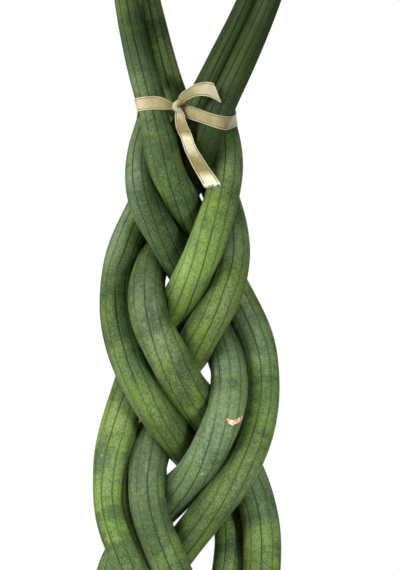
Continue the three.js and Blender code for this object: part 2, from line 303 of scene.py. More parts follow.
# %% Slice a leaf and join the slices
SLICE_STEP = 12 * MM
MODEL_SIDES = 16
MODEL_GROOVE = 0.45 * MM
CLEAR_OF_FOOT, CLEAR_OF_TIP = 4 * MM, 1.5 * MM
WAIST = {"leaf_front_left_tall": 1.3 * MM}
WAIST_START, WAIST_END = (0.478, 0.5), (0.506, 0.534)


def corners_of(node):
    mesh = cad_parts[node].data
    mesh.calc_loop_triangles()
    places = np.array([v.co for v in mesh.vertices])
    return places[np.array([t.vertices for t in mesh.loop_triangles])]


def level_slice(triangles, height):
    """Area and middle of a closed mesh's level section."""
    above = triangles[:, :, 2] > height
    cut = above.any(1) & ~above.all(1)
    triangles, above = triangles[cut], above[cut]
    lone_up = above.sum(1) == 1
    lone = np.argmax(above == lone_up[:, None], axis=1)
    rows = np.arange(len(triangles))
    first, ahead, back = (triangles[rows, (lone + k) % 3] for k in (0, 1, 2))

    def crossing(far):
        share = (height - first[:, 2]) / (far[:, 2] - first[:, 2])
        return first[:, :2] + share[:, None] * (far - first)[:, :2]

    start, end = crossing(ahead), crossing(back)
    start, end = np.where(lone_up[:, None], start, end), np.where(lone_up[:, None], end, start)
    turn = start[:, 0] * end[:, 1] - start[:, 1] * end[:, 0]
    middle = ((start + end) * turn[:, None]).sum(0) / (3 * turn.sum())
    return turn.sum() / 2, middle


class Spline:
    """A natural cubic spline through values at evenly spaced heights."""

    def __init__(self, bottom, top, values):
        self.bottom, self.values = bottom, np.array(values, float)
        count = len(self.values)
        self.step = (top - bottom) / (count - 1)
        system = np.eye(count) * 4
        system += np.eye(count, k=1) + np.eye(count, k=-1)
        system[0, :2], system[-1, -2:] = (1, 0), (0, 1)
        second = np.zeros_like(self.values)
        second[1:-1] = 6 * np.diff(self.values, 2, axis=0)
        self.bends = np.linalg.solve(system, second)

    def __call__(self, height):
        place = (np.asarray(height, float) - self.bottom) / self.step
        cell = np.clip(np.floor(place).astype(int), 0, len(self.values) - 2)
        f = (place - cell).reshape(place.shape + (1,) * (self.values.ndim - 1))
        g = 1 - f
        sag = (g**3 - g) * self.bends[cell] + (f**3 - f) * self.bends[cell + 1]
        return g * self.values[cell] + f * self.values[cell + 1] + sag / 6


class Route:
    """A leaf's middle line (x, y) and radius at any height."""

    def __init__(self, node):
        triangles = corners_of(node)
        self.foot, self.top = triangles[:, :, 2].min(), triangles[:, :, 2].max()
        count = round((self.top - self.foot) / SLICE_STEP)
        heights = np.linspace(self.foot, self.top, count + 1)
        near = np.clip(heights, self.foot + CLEAR_OF_FOOT, self.top - CLEAR_OF_TIP)
        slices = [level_slice(triangles, h) for h in near]
        self.middle = Spline(self.foot, self.top, [middle for _, middle in slices])
        lean = 1 / np.sqrt(1 + (self.slope(heights) ** 2).sum(1))
        area = np.array([area for area, _ in slices]) * lean
        ring = MODEL_SIDES / 2 * math.sin(2 * math.pi / MODEL_SIDES)
        half = MODEL_GROOVE / 2
        self.girth = Spline(self.foot, self.top, half + np.sqrt(half**2 + area / ring))
        self.waist = WAIST.get(node, 0)

    def radius(self, height):
        """The model's radius, less the waist."""
        tied = smooth_step(height, *WAIST_START) * (1 - smooth_step(height, *WAIST_END))
        return self.girth(height) - self.waist * tied

    def slope(self, height):
        height = np.asarray(height, float)
        return (self.middle(height + MM) - self.middle(height - MM)) / (2 * MM)

    def axes(self, height):
        """Right, front and along at each height, at right angles to each other."""
        along = np.column_stack([self.slope(height), np.ones(len(height))])
        along /= np.linalg.norm(along, axis=1)[:, None]
        right = np.array(ACROSS) - along * along[:, :1]
        right /= np.linalg.norm(right, axis=1)[:, None]
        return right, np.cross(right, along), along


LEAVES = [node for node in sorted(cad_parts) if node.startswith("leaf_")]
routes = {node: Route(node) for node in LEAVES}
for node, route in routes.items():
    print(f"{node}: {route.foot:.3f} to {route.top:.3f}, radius {float(route.radius(0.3)) / MM:.1f} mm")

# %% [markdown]
# ## Rolling a leaf
#
# A leaf of this plant is a solid green rod, with ten or so fine grooves running up it and soft
# ribs between them, which ends in a hard dry point. It could be a cylinder with its rings
# moved, but a flat grid that is rolled up brings its own map along: one way round the leaf, the
# other way up it. The grid's columns crowd near the grooves, so that a groove half a
# millimetre wide stays sharp. Each corner also keeps its place on the leaf as if the leaf were
# straight, in an attribute that the skin's patterns read, so that they follow every bend.
#
# The leaves were bent into the plait while they grew, and the grooves wander round them as
# they go up. `GROOVE_TURNS` says where one groove of each leaf lies at a few heights. Where two
# leaves press against each other they swell a little, more so low down, and close the slit
# between them. How much room is left beside each corner is kept too, for the painted shade in
# the skin's creases.

# %% Leaf shape
GROOVES = 10
COLUMNS_PER_GROOVE = 10
CROWDING = 0.72
GROOVE_WIDTH = 0.45 * MM
GROOVE_CUT = 0.18 * MM
RIB_FALL = 0.1 * MM
LEAF_GROW = 0.1 * MM
SWELL_HIGH, SWELL_LOW = 0.45 * MM, 0.95 * MM
SWELL_CHANGE = (0.33, 0.38)
SWELL_ROOM = (1.8 * MM, 6.5 * MM)
LUMP = 0.3 * MM
LUMP_RATE, LUMP_CLIMB = 0.9, 40
SLENDER = 8 * MM
RING_STEP = 4 * MM
POINT_LENGTH = 3 * MM
LEAF_WELD = 2 * WELD

# Height in millimetres and turn in degrees, counted from the front towards the right.
GROOVE_TURNS = {
    "leaf_front_left_tall": [
        (225, 6), (270, -3), (324, -6), (378, -10), (423, -22), (441, -9), (459, 0), (531, 2),
    ],
    "leaf_scarred": [
        (225, 3), (252, -8), (279, -18), (297, -31), (315, -35), (400, -43), (428, -29), (468, -33),
    ],
    "leaf_bright": [
        (225, -36), (252, -23), (288, -11), (306, -7), (360, 14), (405, 9), (450, -1), (472, -6),
        (486, 1),
    ],
    "leaf_back_left_tall": [
        (225, 0), (252, 10), (290, 6), (333, 0), (366, -4), (396, 4), (423, 7), (513, -4),
    ],
    "leaf_back_right_tall": [
        (261, -20), (279, -19), (306, -14), (342, -5), (405, 0), (423, -5), (500, 0), (531, -7),
    ],
    "leaf_front_right_tall": [
        (225, -3), (288, -24), (324, -24), (342, -20), (378, -2), (396, -9), (477, -26), (531, -33),
    ],
}
TURN_BLUR = np.linspace(-10, 10, 9) * MM


def leaf_turn(node, height):
    """How far the grooves are turned round the leaf, in radians."""
    heights, turns = np.array(GROOVE_TURNS[node]).T
    near = np.asarray(height, float)[..., None] + TURN_BLUR
    return np.radians(np.interp(near, heights * MM, turns).mean(-1))


def hash_of(word):
    """A small steady number for a word, to start its random draw."""
    return sum(ord(letter) * (k + 1) for k, letter in enumerate(word)) % 97


def room_beside(node, corners):
    """How far each corner is from the nearest of the other leaves."""
    room = np.full(len(corners), 1.0)
    for other, route in routes.items():
        if other != node:
            height = np.clip(corners[:, 2], route.foot, route.top)
            apart = corners - np.column_stack([route.middle(height), height])
            along = route.axes(height)[2]
            apart -= (apart * along).sum(1)[:, None] * along
            room = np.minimum(room, np.linalg.norm(apart, axis=1) - route.radius(height))
    return room


def roll_leaf(node):
    route = routes[node]
    span = route.top - route.foot
    rings = round(span / RING_STEP)
    bm = bmesh.new()
    straight = bm.verts.layers.float_vector.new("straight")
    room = bm.verts.layers.float.new("room")
    columns = GROOVES * COLUMNS_PER_GROOVE
    bmesh.ops.create_grid(bm, x_segments=columns, y_segments=rings, size=0.5)
    flat = np.array([vert.co for vert in bm.verts]) + 0.5
    height = route.foot + flat[:, 1] * span
    middle, radius = route.middle(height), route.radius(height)
    right, front = route.axes(height)[:2]

    turn = flat[:, 0] * 2 * math.pi
    turn -= CROWDING * np.sin(GROOVES * turn) / GROOVES
    offset = abs((turn * GROOVES / (2 * math.pi) + 0.5) % 1 - 0.5)
    arc = offset * 2 * math.pi / GROOVES * radius
    fade = np.minimum(1, radius / SLENDER)
    places = zip(np.sin(turn), np.cos(turn), height * LUMP_CLIMB)
    start = Vector((hash_of(node), 3.1, 7.7))
    lump = np.array([noise.noise(start + Vector(place) * LUMP_RATE) for place in places])
    girth = LEAF_GROW - GROOVE_CUT * np.exp(-((arc / GROOVE_WIDTH) ** 2)) + LUMP * lump
    girth = radius + fade * (girth - RIB_FALL * (1 - np.sin(math.pi * offset)) ** 2)
    left = np.clip((route.top - height) / POINT_LENGTH, 0, 1)
    girth *= np.sqrt(1 - (1 - left) ** 2)

    place = turn + leaf_turn(node, height)
    reach = np.sin(place)[:, None] * right + np.cos(place)[:, None] * front
    corners = np.column_stack([middle, height]) + girth[:, None] * reach
    apart = room_beside(node, corners)
    swell = SWELL_LOW + (SWELL_HIGH - SWELL_LOW) * smooth_step(height, *SWELL_CHANGE)
    swell *= 1 - smooth_step(apart, *SWELL_ROOM)
    corners += swell[:, None] * reach
    kept = np.column_stack([radius * np.sin(turn), radius * np.cos(turn), height])
    for vert, corner, spot, space in zip(bm.verts, corners, kept, apart - swell):
        vert.co = corner
        vert[straight] = spot
        vert[room] = space
    bmesh.ops.remove_doubles(bm, verts=bm.verts, dist=LEAF_WELD)
    bmesh.ops.holes_fill(bm, edges=bm.edges, sides=0)
    bmesh.ops.recalc_face_normals(bm, faces=bm.faces)
    return bm


# %% [markdown]
# ## Leaf skin
#
# Close to, the skin is a yellow green freckled all over with blue green, under a thin grey
# bloom. The freckles crowd together into darker bands and patches that cross the leaf, with
# ragged edges. Fine dark lines lie in the grooves and fade out here and there. The surface is
# waxy: broad soft lights, no sharp ones. Noise that reads the straight place gives all of this.
#
# On top of the noise each leaf has marks: a dark band here, a yellow patch there, pale specks,
# and on one leaf a healed scar. Some marks are painted shadow where a neighbour leaf or the
# ribbon shades the skin, and painted light where the light falls full on it. A mark is a soft
# ball round a place on the skin, its edge made ragged by the same noise, so a short list of
# places is all it needs.
#
# Less light reaches the top of the plait, and little gets in where two leaves touch. So shade is
# painted into the skin: darker with height, and with how little room is left beside it. The lines
# in the grooves come after that, or this painted shade would hide them.

# %% Leaf marks
TINTS = {
    "dark": (0.03, 0.062, 0.033),
    "lime": (0.13, 0.2, 0.025),
    "olive": (0.1, 0.125, 0.03),
    "grey": (0.16, 0.215, 0.125),
    "pale": (0.3, 0.36, 0.24),
    # A light green, laid on as painted light.
    "fresh and painted light": (0.26, 0.38, 0.11),
    # Painted shadow, for where a neighbour leaf or the ribbon shades the skin.
    "painted shadow": (0.02, 0.034, 0.008),
    # Painted shade for the top of the plait.
    "top_shade": (0.021, 0.038, 0.009),
    # Painted shade where two leaves lie close together.
    "crease": (0.016, 0.03, 0.01),
    "line": (0.006, 0.013, 0.007),
    "tip": (0.33, 0.22, 0.12),
    "base": (0.26, 0.24, 0.13),
    "cork": (0.47, 0.27, 0.15),
    "pale cork": (0.72, 0.52, 0.35),
    "scar rim": (0.05, 0.032, 0.012),
}
TOP_SHADE_PART = (455 * MM, 575 * MM)
CREASE_SHADE_ROOM = (-1.5 * MM, 11.2 * MM)
TIP_STARTS, TIP_IS_DRY = 11 * MM, 5 * MM
BASE_PART = (142 * MM, 168 * MM)

# By tint: height, turn, half height, half width (millimetres and degrees), and how strong.
# Some dark marks are painted shade, not the leaf's own bands.
MARKS = {
    "leaf_front_left_tall": {
        "dark": [
            (495, 0, 7, 15, 0.6), (448, 20, 12, 13, 0.4), (407, 10, 7, 12, 0.4),
            (338, 0, 9, 15, 0.35), (231, 0, 24, 15, 0.3), (296, 5, 6, 12, 0.35),
        ],
        "lime": [(452, -50, 26, 5, 0.42), (365, 40, 14, 8, 0.35)],
        "olive": [(236, 0, 26, 15, 0.5)],
        "grey": [(528, -12, 26, 15, 0.4), (345, 10, 26, 13, 0.4)],
        "painted shadow": [(461, 5, 14, 14, 0.25)],
    },
    "leaf_scarred": {
        "dark": [
            (445, 0, 7, 14, 0.6), (436, 15, 12, 12, 0.5), (413, 0, 13, 15, 0.5),
            # The dark mark at 468 mm on the right side is painted shade, where the front left leaf shades
            # this one.
            (468, 50, 30, 9, 0.65), (345, 0, 12, 15, 0.6), (268, 40, 7, 9, 0.4),
        ],
        "grey": [
            (500, -50, 25, 8, 0.6), (462, -30, 20, 10, 0.5), (240, -5, 15, 13, 0.35),
            (318, 0, 14, 14, 0.55), (282, -10, 24, 14, 0.6),
        ],
        "pale": [
            (458, -10, 0.8, 0.8, 0.9), (428, 45, 0.7, 0.7, 0.9), (313, -50, 4.5, 1.5, 0.7),
            (253, 5, 0.9, 0.9, 0.9), (240, 47, 0.7, 0.7, 0.8),
        ],
        "painted shadow": [(430, 35, 30, 11, 0.6)],
    },
    "leaf_bright": {
        "dark": [
            (486, 10, 13, 15, 0.5), (428, 20, 4, 8, 0.55), (440, 15, 6, 12, 0.45),
            (420, -15, 5, 9, 0.4), (390, 40, 5, 7, 0.55),
        ],
        "grey": [(462, 0, 18, 15, 0.5), (287, 10, 14, 12, 0.35), (246, 0, 22, 15, 0.3)],
        "pale": [(256, -35, 0.9, 0.9, 0.9)],
        # These light green marks are partly painted light, on the left side where the light falls.
        "fresh and painted light": [(398, -10, 30, 15, 0.22), (455, -35, 22, 8, 0.35), (408, -50, 28, 8, 0.4)],
    },
    "leaf_back_left_tall": {
        "dark": [(425, 10, 8, 15, 0.6)],
        "lime": [(352, -35, 8, 7, 0.6)],
        "olive": [(365, 40, 30, 8, 0.5)],
        "grey": [(408, 0, 12, 15, 0.6), (245, 0, 30, 15, 0.5)],
        "pale": [(242, 0, 3.5, 1.3, 0.5)],
        # Painted light on the top, which the front left leaf shades.
        "fresh and painted light": [(526, 0, 36, 15, 0.7), (516, 8, 14, 13, 0.95)],
    },
    "leaf_back_right_tall": {
        "dark": [
            (370, 0, 6, 14, 0.55), (345, 0, 6, 14, 0.5), (320, 20, 11, 12, 0.5),
            (315, 40, 6, 7, 0.5),
        ],
        "lime": [(290, 0, 20, 15, 0.35)],
        "grey": [(412, -55, 26, 8, 0.7)],
        "pale": [(372, 16, 0.5, 4.5, 0.45)],
        "painted shadow": [(405, 40, 45, 12, 0.75), (268, 10, 15, 13, 0.55)],
    },
    "leaf_front_right_tall": {
        "dark": [
            (385, 0, 20, 15, 0.2), (320, 0, 6, 14, 0.4), (345, 5, 20, 14, 0.22),
            # The dark mark at 500 mm is painted shade on the top of this leaf.
            (500, 20, 18, 12, 0.5), (228, 0, 26, 17, 0.45),
        ],
        "lime": [(305, -40, 10, 8, 0.7)],
        "grey": [
            (520, -55, 20, 7, 0.5), (366, -10, 18, 11, 0.55), (340, 0, 10, 12, 0.4),
            (232, 20, 20, 14, 0.3),
        ],
        "pale": [(357, 19, 7, 2.6, 0.5)],
        "painted shadow": [(534, 42, 45, 11, 0.6), (482, 15, 28, 16, 0.88)],
    },
}

# The scar is a row of small marks: height, turn, half height and half width.
SCAR = [
    (283, 20, 0.6, 1.6), (282.5, 28, 1.2, 2.2), (282.6, 35, 1.35, 2.4), (283.5, 43, 1, 2.4),
    (284.6, 52, 1, 2.5), (286, 62, 1.1, 2.5), (287.9, 74, 1.3, 1.8),
]
SCARRED = "leaf_scarred"


class LeafSkin:
    """One leaf's material, built up in layers."""

    def __init__(self, node, seed):
        self.node = node
        self.skin = Finish(node + "_skin")
        self.straight = self.skin.add("Attribute", {"attribute_name": "straight"}, output="Vector")
        self.place = self.skin.stretched(self.straight, (1, 1, 1), (seed * 0.37, seed * 0.11, seed * 0.23))
        # Noise at four sizes, from flecks under a millimetre to bands of some centimetres.
        self.fleck = self.skin.grain(self.place, 1080, 2, 0.62)
        self.mottle = self.skin.grain(self.place, 330, 2, 0.6)
        self.patch = self.skin.grain(self.skin.stretched(self.place, (1, 1, 0.55)), 80, 3, 0.55)
        self.broad = self.skin.grain(self.skin.stretched(self.place, (0.3, 0.3, 1)), 40, 3, 0.6, 0.5)

    def spot(self, height, turn, tall, wide, ragged=0.7, soft=0.6):
        """1 in the middle of a mark, 0 outside it, with a ragged soft edge between."""
        radius = float(routes[self.node].radius(height * MM))
        angle = math.radians(turn) - float(leaf_turn(self.node, height * MM))
        middle = (radius * math.sin(angle), radius * math.cos(angle), height * MM)
        scale = (1 / (wide * MM), 1 / (wide * MM), 1 / (tall * MM))
        shift = tuple(-m * s for m, s in zip(middle, scale))
        centred = self.skin.stretched(self.straight, scale, shift)
        away = self.skin.add("VectorMath", {"operation": "LENGTH"}, {0: centred}, output="Value")
        wander = (self.patch + 0.6 * self.mottle - 0.8) * ragged
        return 1 - self.skin.rise(away + wander, 0.9 - soft, 0.9 + soft)

    def marks(self, colour, *tints):
        for tint in tints:
            found = MARKS[self.node].get(tint, [])
            spots = [self.spot(*mark) * strength for *mark, strength in found]
            if spots:
                strongest = spots[0]
                for spot in spots[1:]:
                    strongest = strongest.maths("MAXIMUM", strongest, spot)
                freckled = strongest * (0.72 + 0.56 * self.skin.rise(self.fleck, 0.38, 0.62))
                colour = self.skin.stain(freckled, colour, TINTS[tint])
        return colour

    def grooves(self):
        """The dark line in each groove, and the softer shade beside it."""
        skin = self.skin
        parts = skin.add("SeparateXYZ", {}, {0: self.straight})
        x, y, height = parts, parts.other("Y"), parts.other("Z")
        turn = x.maths("ARCTAN2", x, y) * (GROOVES / (2 * math.pi))
        girth = (x * x + y * y).maths("SQRT", x * x + y * y)
        beside = turn.maths("PINGPONG", turn + 2 * GROOVES, 0.5) * girth * (2 * math.pi / GROOVES / MM)
        which = turn.maths("ROUND", turn)
        along = skin.add("CombineXYZ", {}, {0: which, 1: hash_of(self.node), 2: height * 22})
        held = skin.rise(skin.grain(along, 1.0, 1), 0.3, 0.5)
        draw = skin.add("CombineXYZ", {}, {0: 7 * which, 1: 31 + hash_of(self.node)})
        clear = skin.rise(skin.grain(draw, 1.0, 1), 0.42, 0.58)
        front = 1 - skin.rise(which.maths("ABSOLUTE", which), 0.2, 0.8)
        clear = clear.maths("MAXIMUM", clear, front)
        line = 1 - skin.rise(beside + 0.4 * (self.fleck - 0.5), 0.1, 0.55)
        shade = 1 - skin.rise(beside, 0.3, 2.2)
        return line * (0.2 + 0.8 * held) * (0.3 + 0.7 * clear), shade, height

    def scar(self, colour, normal):
        skin = self.skin
        mask = self.spot(*SCAR[0], ragged=0.3, soft=0.35)
        for place in SCAR[1:]:
            mask = mask.maths("MAXIMUM", mask, self.spot(*place, ragged=0.3, soft=0.35))
        cork = skin.stain(skin.rise(self.mottle, 0.4, 0.6), TINTS["cork"], TINTS["pale cork"])
        rim = skin.rise(mask, 0.02, 0.3) * (1 - skin.rise(mask, 0.35, 0.6))
        colour = skin.stain(0.85 * rim, colour, TINTS["scar rim"])
        colour = skin.stain(skin.rise(mask, 0.3, 0.5), colour, cork)
        return colour, skin.relief(rim - 0.7 * mask + 0.2 * self.mottle * mask, 0.0006, 0.8, normal)


# %% Leaf skin
def leaf_skin(node, ground, dark, young, seed, banded, bloom, shaded):
    layers = LeafSkin(node, seed)
    skin, fleck, mottle, patch = layers.skin, layers.fleck, layers.mottle, layers.patch

    warm = skin.rise(skin.grain(skin.stretched(layers.place, (1, 1, 0.5)), 46, 2), 0.34, 0.68)
    colour = skin.stain(0.7 * warm, ground, young)
    edge = 0.62 - 0.16 * banded
    band = skin.rise(layers.broad + 0.45 * (patch - 0.5) + 0.15 * (mottle - 0.5), edge - 0.1, edge + 0.13)
    colour = skin.stain(0.66 * band, colour, dark)
    streak = skin.grain(skin.stretched(layers.place, (1, 1, 0.07)), 380, 2)
    colour = skin.stain(0.3 * skin.rise(streak, 0.5, 0.72), colour, dark)
    film = skin.rise(patch + 0.3 * (streak - 0.5) - 0.2 * band, 0.34, 0.7)
    colour = skin.stain(bloom * film, colour, TINTS["grey"])
    colour = layers.marks(colour, "dark", "lime", "olive", "grey", "pale", "fresh and painted light")

    speckle = skin.rise(fleck + 0.28 * (mottle - 0.5) + 0.07 * band, 0.44, 0.63)
    colour = skin.stain(0.53 * speckle, colour, tuple(0.6 * share for share in dark))
    light = skin.rise(fleck + 0.2 * (mottle - 0.5), 0.5, 0.32)
    colour = skin.stain(0.11 * light, colour, TINTS["pale"])

    line, shade, height = layers.grooves()
    # Painted shade: the skin darkens towards the top of the plait, where less light reaches.
    top_shade = skin.rise(height + 0.03 * (patch - 0.5), *TOP_SHADE_PART)
    colour = skin.stain(shaded * top_shade, colour, TINTS["top_shade"])
    # Painted shadow marks go on after the painted shade of the top.
    colour = layers.marks(colour, "painted shadow")
    colour = skin.stain(0.18 * shade, colour, dark)
    # Painted shade where another leaf lies close beside, as little light gets in there.
    room = skin.add("Attribute", {"attribute_name": "room"}, output="Fac")
    crease_shade = 1 - skin.rise(room + 0.003 * (patch - 0.5), *CREASE_SHADE_ROOM)
    colour = skin.stain(0.78 * crease_shade * (1 - top_shade), colour, TINTS["crease"])
    colour = skin.stain(0.9 * line, colour, TINTS["line"])

    top = routes[node].top
    tip = skin.rise(height + 0.006 * (mottle - 0.5), top - TIP_STARTS, top - TIP_IS_DRY)
    colour = skin.stain(tip, colour, TINTS["tip"])
    base = 1 - skin.rise(height + 0.02 * (mottle - 0.5), *BASE_PART)
    colour = skin.stain(0.75 * base, colour, TINTS["base"])

    normal = skin.relief(0.6 * fleck + 0.7 * mottle, 0.00012, 0.55)
    normal = skin.relief(line, -0.0004, 0.5, normal)
    if node == SCARRED:
        colour, normal = layers.scar(colour, normal)
    return skin.finish(
        Base_Color=colour,
        Roughness=0.43 + 0.14 * mottle + 0.1 * band,
        Normal=normal,
        Specular_IOR_Level=0.08,
    )


# Slot, ground, dark and young colours, seed, how banded, how much bloom, painted shade at the top.
RECIPES = {
    "leaf_front_left_tall": (
        "leaf_mid", (0.1, 0.168, 0.032), (0.03, 0.058, 0.026), (0.155, 0.22, 0.03),
        1, 0.6, 0.28, 0.5,
    ),
    "leaf_scarred": (
        "leaf_grey", (0.09, 0.146, 0.04), (0.032, 0.06, 0.032), (0.125, 0.177, 0.036),
        2, 0.5, 0.48, 0.3,
    ),
    "leaf_bright": (
        "leaf_bright", (0.125, 0.208, 0.033), (0.034, 0.064, 0.027), (0.185, 0.265, 0.03),
        3, 0.45, 0.24, 0.3,
    ),
    "leaf_back_left_tall": (
        "leaf_mid", (0.087, 0.145, 0.03), (0.028, 0.053, 0.024), (0.138, 0.192, 0.028),
        4, 0.6, 0.28, 0,
    ),
    "leaf_back_right_tall": (
        "leaf_mid", (0.085, 0.142, 0.028), (0.027, 0.052, 0.024), (0.135, 0.187, 0.026),
        5, 0.6, 0.2, 0.9,
    ),
    "leaf_front_right_tall": (
        "leaf_dark", (0.09, 0.148, 0.03), (0.026, 0.049, 0.024), (0.14, 0.195, 0.027),
        6, 0.6, 0.16, 0.8,
    ),
}

for node, (slot, *recipe) in RECIPES.items():
    skin = leaf_skin(node, *recipe)
    leaf = put(node + "_grown", roll_leaf(node), skin)
    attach(leaf, "root")
    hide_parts(node)

# %% [markdown]
# ## The ribbon
#
# One length of narrow satin ribbon runs round the bundle, is tied in a small tight knot in
# front of the gap between the two front leaves, and leaves two free ends. Satin ribbon is
# stiff for its size, so it lies in smooth bends, and it gathers into pleats only where the
# knot squeezes it. A cloth simulation would have to tie the knot first, so the band is laid
# along the tight outline of the leaves instead, and the ends are strips between two edge lines.
#
# The outline of a tight band is the bundle's convex hull: every flat line that touches the
# bundle bounds it, and in each direction the nearest of those lines counts. Every corner also
# keeps its place on the flat ribbon, across and along, and a tone that paints the satin's sheen
# and shade into its colour.

# %% The band's tight outline
RIBBON_WIDTH = 9.5 * MM
RIBBON_CLEAR = 0.38 * MM
RIBBON_CLOTH = 0.26 * MM

# The band's middle height in millimetres, every 15 degrees from +X towards the back.
BAND_HEIGHTS = [
    499.5, 500.5, 501.5, 502.5, 503.5, 504, 504, 504, 504, 504, 504.3, 505,
    506, 507.3, 509.2, 510.8, 511, 509, 505, 502, 498.5, 496.5, 497.5, 498.5,
]
FACINGS = np.linspace(0, 2 * math.pi, 180, endpoint=False)
FACING_LIMIT = 0.2

# The spline runs on past both ends of the turn, so that the band closes without a kink.
RUN_ON = 6
stations = len(BAND_HEIGHTS)
run = (BAND_HEIGHTS * 3)[stations - RUN_ON:RUN_ON + 1 - stations]
band_middle = Spline(-RUN_ON, stations + RUN_ON, run)


def tight_radius(turn, height):
    """How far a tight band runs from the middle, at many directions and heights at once."""
    east, north = np.cos(FACINGS), np.sin(FACINGS)
    nearest = np.full((len(turn), len(FACINGS)), -1.0)
    for route in routes.values():
        middle, slope = route.middle(height), route.slope(height)
        lean = slope[:, :1] * east + slope[:, 1:] * north
        girth = (route.radius(height) + LEAF_GROW)[:, None] * np.sqrt(1 + lean**2)
        nearest = np.maximum(nearest, middle[:, :1] * east + middle[:, 1:] * north + girth)
    lined = np.cos(turn[:, None] - FACINGS)
    away = nearest / np.maximum(lined, FACING_LIMIT)
    return np.where(lined > FACING_LIMIT, away, np.inf).min(axis=1)


def pleats(across, depth):
    """Lengthwise pleats, which stand out of the cloth's flat place."""
    return depth * (1 + 0.6 * np.sin(across * 21 + 0.8) + 0.4 * np.sin(across * 37 + 2))


def selvedge(across):
    """The two woven edges stand a little proud, with a fine hollow just inside."""
    edge = np.minimum(across, 1 - across)
    proud = np.exp(-(((edge - 0.03) / 0.03) ** 2))
    hollow = np.exp(-(((edge - 0.11) / 0.025) ** 2))
    return (0.16 * proud - 0.1 * hollow) * MM


# %% [markdown]
# ### The band
#
# The knot pulls the band to little more than a third of its width. On the left the pleats run
# out slowly, over the front of the leaf; on the right the ribbon springs open at once. So the
# squeeze is full between two directions, and fades from them at two speeds.

# %% Lay the band, one grid rolled round the bundle
BAND_COLUMNS = 320
CLOTH_ROWS = 24
SQUEEZED = np.radians((254.5, 263.2))
SLOW_FADE, FAST_FADE = np.radians((11, 3.6))
KNOT_HEIGHT = 508.6 * MM
KNOT_SHARE = 0.38
BUNDLE_RADIUS = 35 * MM
AT_SEAM = 0.001

# Degrees round the bundle and the tone there, painted sheen and shade: below 0 is painted shade,
# most of all in the knot's hollow, 0 is the satin's own gold and 1 is a pale painted sheen.
BAND_SHEEN_AND_SHADE = [(0, 0.4), (180, 0.5), (222, 0.45), (238, 0.35), (248, 0.15), (255, 0.15), (259, -0.9),
              (265, -0.9), (269, 0.2), (285, 0.4), (300, 0.36), (313, 0.2), (325, 0.6), (360, 0.4)]


def flat_places(made):
    """The two coordinates of a grid's corners, from 0 to 1."""
    flat = np.array([vert.co for vert in made["verts"]]) + 0.5
    return flat[:, 0], flat[:, 1]


def set_corners(made, cloth, corners, across, along, tone):
    kept = np.column_stack([across * RIBBON_WIDTH, along, np.broadcast_to(tone, len(across))])
    for vert, corner, spot in zip(made["verts"], corners, kept):
        vert.co = corner
        vert[cloth] = spot


def close_seam(bm, made, share):
    """Weld the two sides of a grid that was rolled up."""
    seam = [vert for vert, spot in zip(made["verts"], share) if min(spot, 1 - spot) < AT_SEAM]
    bmesh.ops.remove_doubles(bm, verts=seam, dist=WELD)


def lay_band(bm, cloth):
    made = bmesh.ops.create_grid(bm, x_segments=BAND_COLUMNS, y_segments=CLOTH_ROWS, size=0.5)
    share, across = flat_places(made)
    turn = share * 2 * math.pi
    before = np.clip(SQUEEZED[0] - turn, 0, None) / SLOW_FADE
    after = np.clip(turn - SQUEEZED[1], 0, None) / FAST_FADE
    squeeze = np.exp(-(before**2) - after**2)
    height = band_middle(share * stations) * MM + (across - 0.5) * RIBBON_WIDTH
    held = KNOT_HEIGHT + (across - 0.5) * KNOT_SHARE * RIBBON_WIDTH
    height += squeeze * (held - height)
    creased = np.exp(-((before / 1.9) ** 2) - (after / 1.6) ** 2)
    radius = tight_radius(turn, height) + RIBBON_CLEAR + selvedge(across)
    radius += pleats(across + 0.06 * np.sin(turn * 3), (0.03 + 0.4 * creased) * MM)
    corners = np.column_stack([radius * np.cos(turn), radius * np.sin(turn), height])
    # Painted sheen and shade round the band, with painted shade in the knot's hollow.
    tone = np.interp(np.degrees(turn), *np.array(BAND_SHEEN_AND_SHADE).T)
    set_corners(made, cloth, corners, across, turn * BUNDLE_RADIUS, tone)
    close_seam(bm, made, share)


# %% [markdown]
# ### The free ends
#
# A free end is a strip between two edge lines, which a spline runs through a few points each.
# It is cupped a little across, as ribbon that has been creased by a knot is, and its pleats
# run out away from the knot.

# %% The free ends
END_ROWS = 110

# The two edge lines' points in millimetres, from the knot to the cut.
UPPER_END = {
    "outer": [(-6.9, -33.2, 511.4), (-5.8, -34.4, 514.8), (-3.8, -34.9, 518.1), (0.6, -35.2, 521.3),
              (5.8, -36.2, 524.2), (10.7, -36.9, 525.5), (15.1, -37.1, 525.9), (19, -36.6, 525)],
    "inner": [(-3.2, -34.2, 510), (-0.8, -35.6, 512.2), (2, -36.6, 513.9), (5.6, -37.7, 515.4),
              (9.7, -38.4, 516), (14.2, -38.9, 515.7), (19.4, -38.5, 513.8), (24.5, -37.2, 510.9)],
}
LOWER_END = {
    "outer": [(-7.3, -33.4, 507), (-8.1, -34, 503.2), (-8.4, -33.9, 499.3), (-7.7, -32.4, 494),
              (-5.6, -30.5, 488.4), (-3.7, -31, 484.2), (-2, -33.2, 478.2), (0.6, -33.4, 472.4),
              (4, -31.2, 465.5), (7.9, -29.5, 458.6), (11.6, -30.5, 452)],
    "inner": [(-4.2, -34.4, 506.2), (-2, -36.2, 503.2), (-0.9, -36.6, 498.8), (1.2, -35.7, 493.5),
              (3.2, -34.4, 489), (4.8, -35.2, 484), (7.2, -36, 478.3), (11.2, -34.2, 472),
              (15.3, -31.5, 465.6), (19.6, -30, 459.6), (23.8, -31.5, 453.6)],
}

